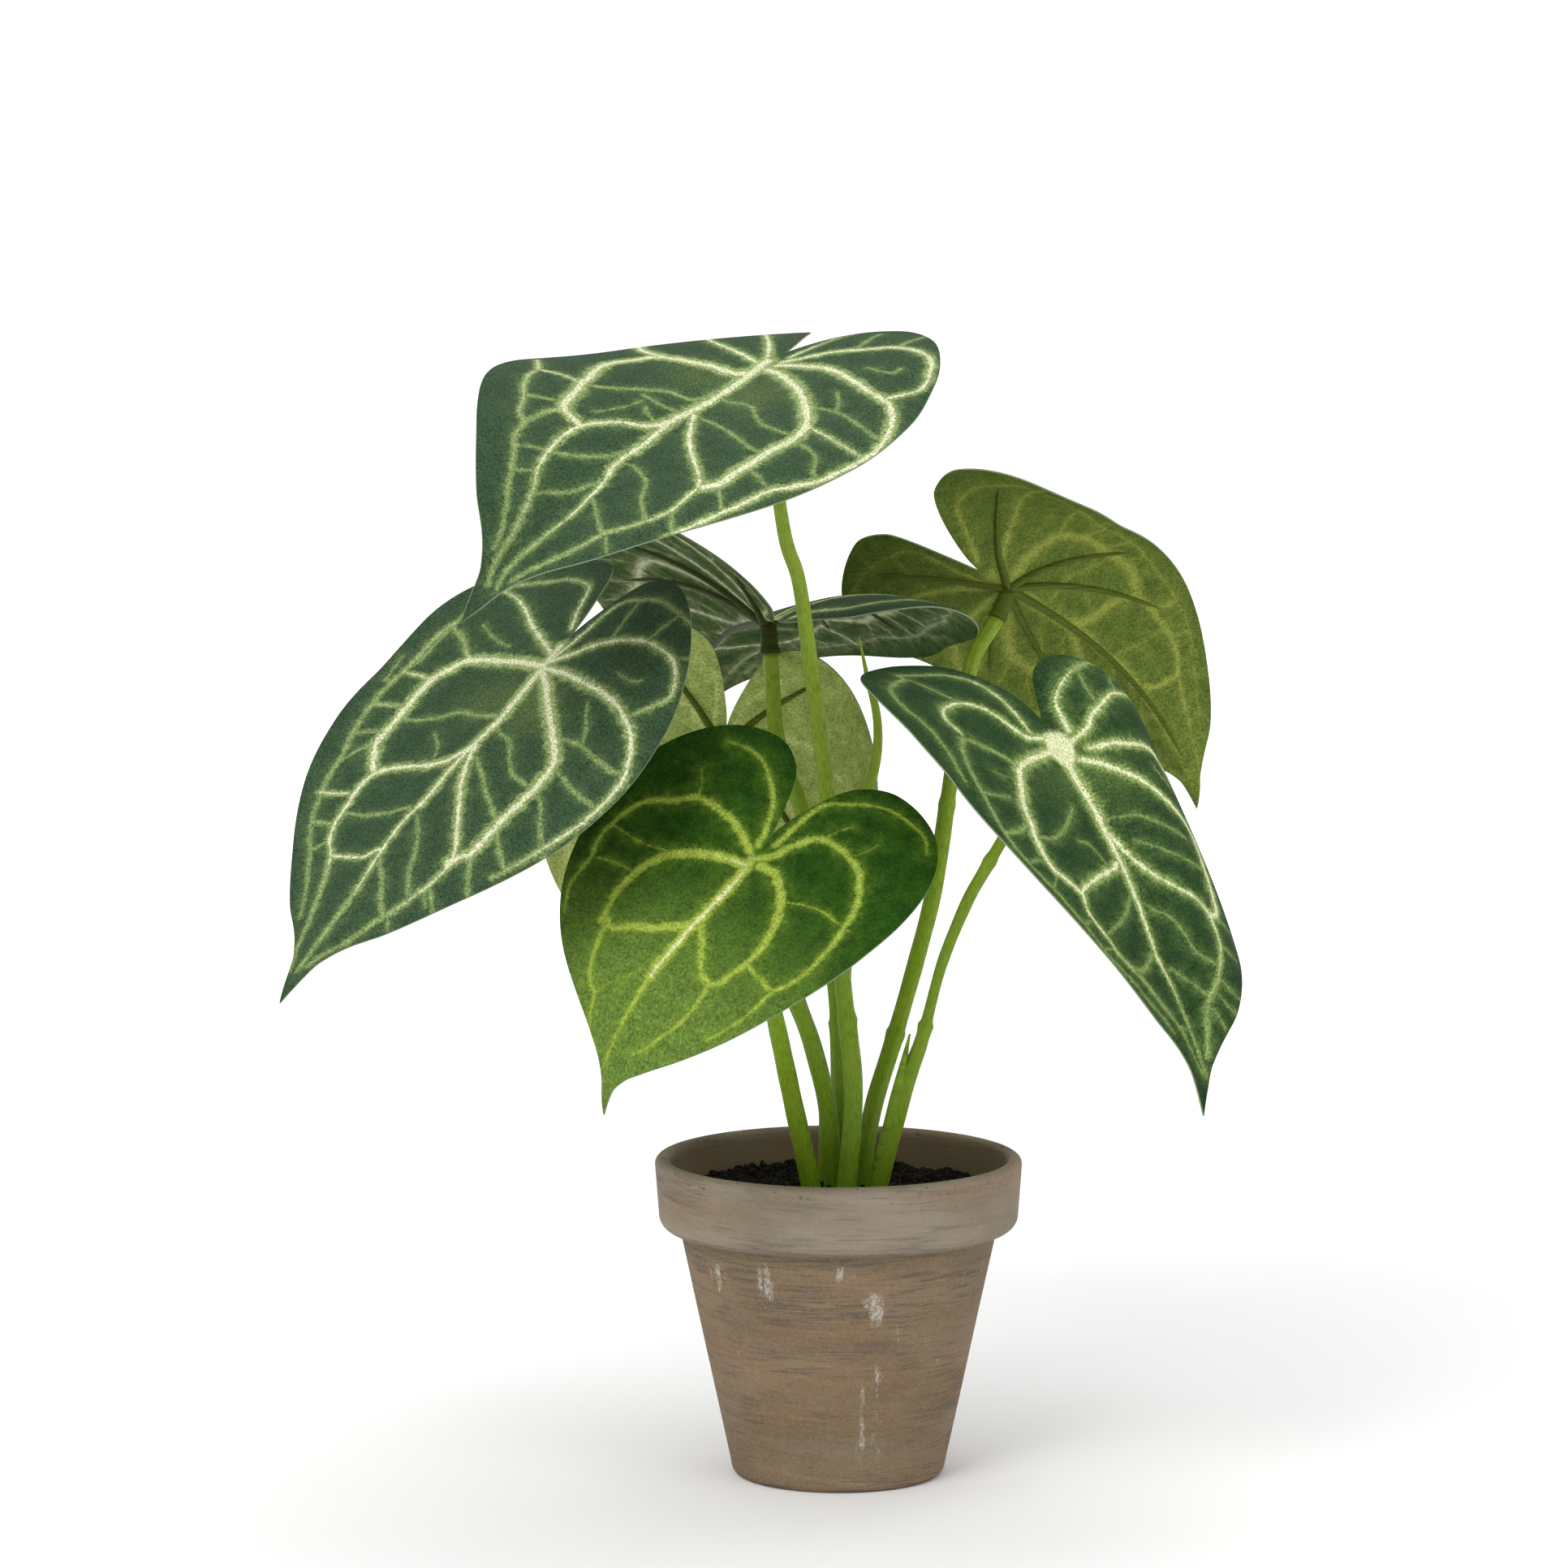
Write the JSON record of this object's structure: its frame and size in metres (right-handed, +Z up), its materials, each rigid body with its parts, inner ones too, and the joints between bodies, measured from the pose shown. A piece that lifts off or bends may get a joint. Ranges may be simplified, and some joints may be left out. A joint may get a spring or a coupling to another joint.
{
  "type": "potted caladium",
  "caption": "Potted caladium with pointed heart-shaped patterned leaves on grooved stems, standing in dark soil in a banded clay pot.",
  "frame": {"origin": "centre of the pot's flat base, on the surface that the pot stands on", "axes": "+Z up along the pot's axis; the picture looks along +Y, with +X to its right"},
  "size_m": [0.3012, 0.2969, 0.3753],
  "materials": {
    "clay": "matte",
    "earth": "matte",
    "leaf_dark": "matte",
    "leaf_fresh": "matte",
    "rib_green": "satin",
    "stem_green": "satin"
  },
  "bodies": {
    "root": {"pot": "clay", "soil": "earth", "leaf_1": "leaf_dark", "leaf_2": "leaf_dark", "leaf_3": "leaf_dark", "leaf_4": "leaf_dark", "leaf_5": "leaf_fresh", "leaf_6": "leaf_dark", "leaf_7": "leaf_fresh", "ribs_1": "rib_green", "ribs_2": "rib_green", "ribs_3": "rib_green", "ribs_4": "rib_green", "ribs_5": "rib_green", "ribs_6": "rib_green", "ribs_7": "rib_green", "stem_1": "stem_green", "stem_2": "stem_green", "stem_3": "stem_green", "stem_4": "stem_green", "stem_5": "stem_green", "stem_6": "stem_green", "stem_7": "stem_green", "shoot": "stem_green"}
  },
  "joints": []
}
